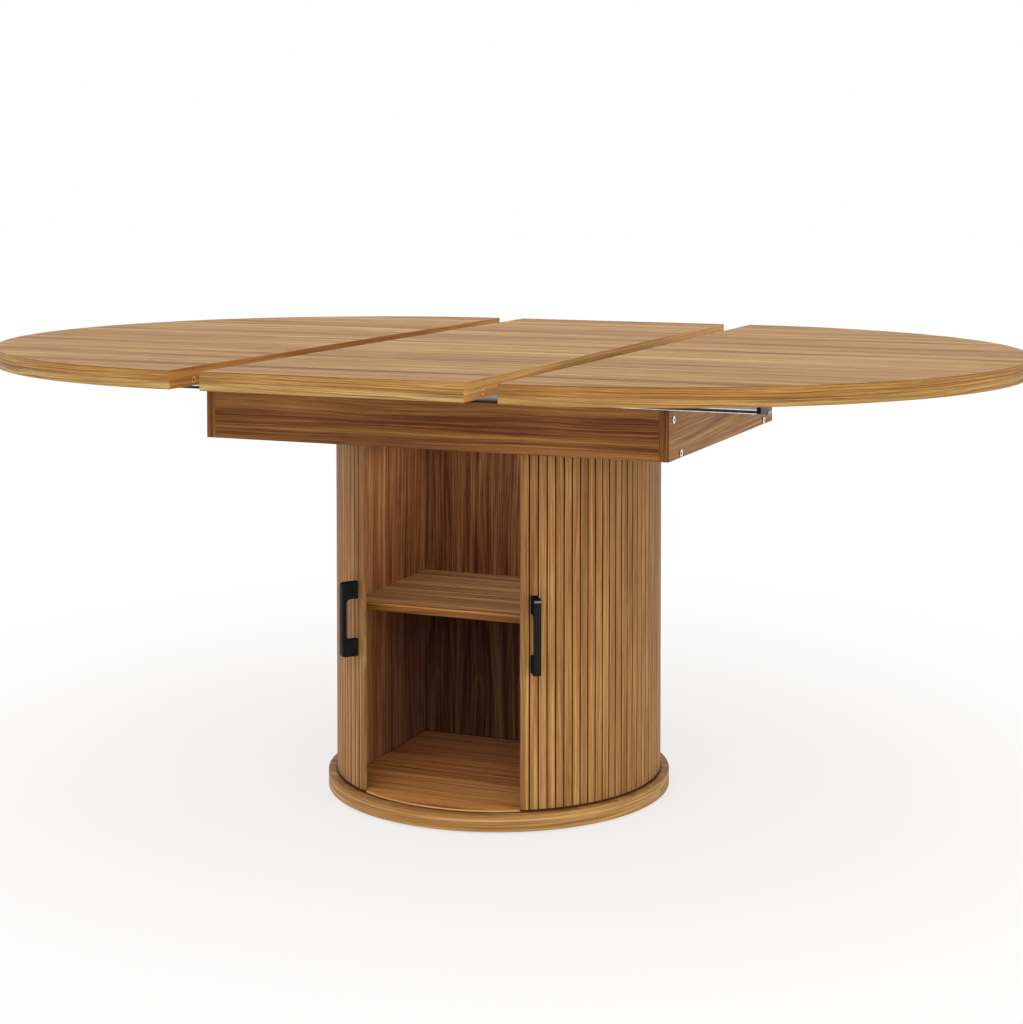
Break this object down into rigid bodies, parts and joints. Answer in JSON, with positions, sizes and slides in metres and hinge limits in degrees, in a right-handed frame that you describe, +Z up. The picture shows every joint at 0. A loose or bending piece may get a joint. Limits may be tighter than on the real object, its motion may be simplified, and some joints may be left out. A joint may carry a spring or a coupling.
{
  "type": "extending round kitchen table with storage cabinet",
  "caption": "Round dining table whose half tops draw apart for a loose leaf, on a cylindrical cabinet with sliding slatted tambour doors and a shelf.",
  "frame": {"origin": "centre of the footprint at floor level", "axes": "+X is the direction in which the right half top draws out, -Y is the front with the door opening, +Z is up"},
  "size_m": [1.805, 1.27, 0.766],
  "materials": {
    "top_wood": "straight-grained warm oak laminate, satin, grain along X",
    "edge_wood": "golden oak edge banding, grain along the edge",
    "apron_wood": "warm oak laminate, grain along the board",
    "apron_end_wood": "warm oak laminate, grain across the end",
    "cabinet_wood": "warm oak laminate, upright grain",
    "shelf_wood": "warm oak laminate, grain along X, lighter front edge",
    "floor_wood": "warm oak laminate, grain along X",
    "slat_wood": "oak-faced slats, upright grain, tone varies from slat to slat",
    "lead_wood": "paler oak lipping, upright grain",
    "base_wood": "oak disc, banded edge with grain round the rim",
    "raw_wood": "unfinished softwood",
    "canvas": "dark cotton duck glued behind the slats",
    "zinc_steel": "zinc-plated rolled steel",
    "bright_steel": "bright nickel-plated steel",
    "brass": "turned brass",
    "nylon": "natural nylon",
    "cap_plastic": "dark grey moulded plastic",
    "glide_plastic": "dark felt-faced plastic glide",
    "handle_black": "matte black powder coat on cast zinc"
  },
  "bodies": {
    "pedestal": {"apron_back": "apron_wood", "apron_bolts": "bright_steel", "apron_bottom": "apron_wood", "apron_dowels": "raw_wood", "apron_front": "apron_wood", "apron_left": "apron_end_wood", "apron_right": "apron_end_wood", "base_disc": "base_wood", "base_glides": "glide_plastic", "batten_back": "raw_wood", "batten_front": "raw_wood", "cabinet_back": "cabinet_wood", "cabinet_side_left": "cabinet_wood", "cabinet_side_right": "cabinet_wood", "carcass_screws": "bright_steel", "fixed_rail_back": "zinc_steel", "fixed_rail_front": "zinc_steel", "floor_panel": "floor_wood", "leaf_bearers": "raw_wood", "rail_screws": "bright_steel", "rail_sliders": "nylon", "rear_screen": "slat_wood", "shelf": "shelf_wood", "shelf_pins": "bright_steel"},
    "left_top": {"left_top_panel": "top_wood", "left_edge_band": "edge_wood", "left_runner_front": "zinc_steel", "left_runner_back": "zinc_steel", "left_end_caps": "cap_plastic", "left_runner_screws": "bright_steel", "left_top_sockets": "brass"},
    "right_top": {"right_top_panel": "top_wood", "right_edge_band": "edge_wood", "right_runner_front": "zinc_steel", "right_runner_back": "zinc_steel", "right_end_caps": "cap_plastic", "right_runner_screws": "bright_steel", "right_top_pins": "brass"},
    "leaf": {"leaf_panel": "top_wood", "leaf_edge_bands": "edge_wood", "leaf_pins": "brass", "leaf_sockets": "brass"},
    "left_door": {"left_door_slats": "slat_wood", "left_lead_strip": "lead_wood", "left_door_canvas": "canvas", "left_handle": "handle_black", "left_handle_screws": "bright_steel", "left_guide_pins": "nylon"},
    "right_door": {"right_door_slats": "slat_wood", "right_lead_strip": "lead_wood", "right_door_canvas": "canvas", "right_handle": "handle_black", "right_handle_screws": "bright_steel", "right_guide_pins": "nylon"}
  },
  "joints": [
    {"name": "left_top_slide", "type": "slide", "parent": "pedestal", "child": "left_top", "axis": [1, 0, 0], "range_m": [0, 0.052]},
    {"name": "right_top_slide", "type": "slide", "parent": "pedestal", "child": "right_top", "axis": [-1, 0, 0], "range_m": [0, 0.052]},
    {"name": "leaf_lift", "type": "slide", "parent": "pedestal", "child": "leaf", "axis": [0, 0, 1], "range_m": [0, 0.25]},
    {"name": "left_door_turn", "type": "hinge", "parent": "pedestal", "child": "left_door", "pos_m": [0, 0, 0.3], "axis": [0, 0, 1], "range_deg": [0, 29.9]},
    {"name": "right_door_turn", "type": "hinge", "parent": "pedestal", "child": "right_door", "pos_m": [0, 0, 0.3], "axis": [0, 0, -1], "range_deg": [0, 29.9]}
  ]
}
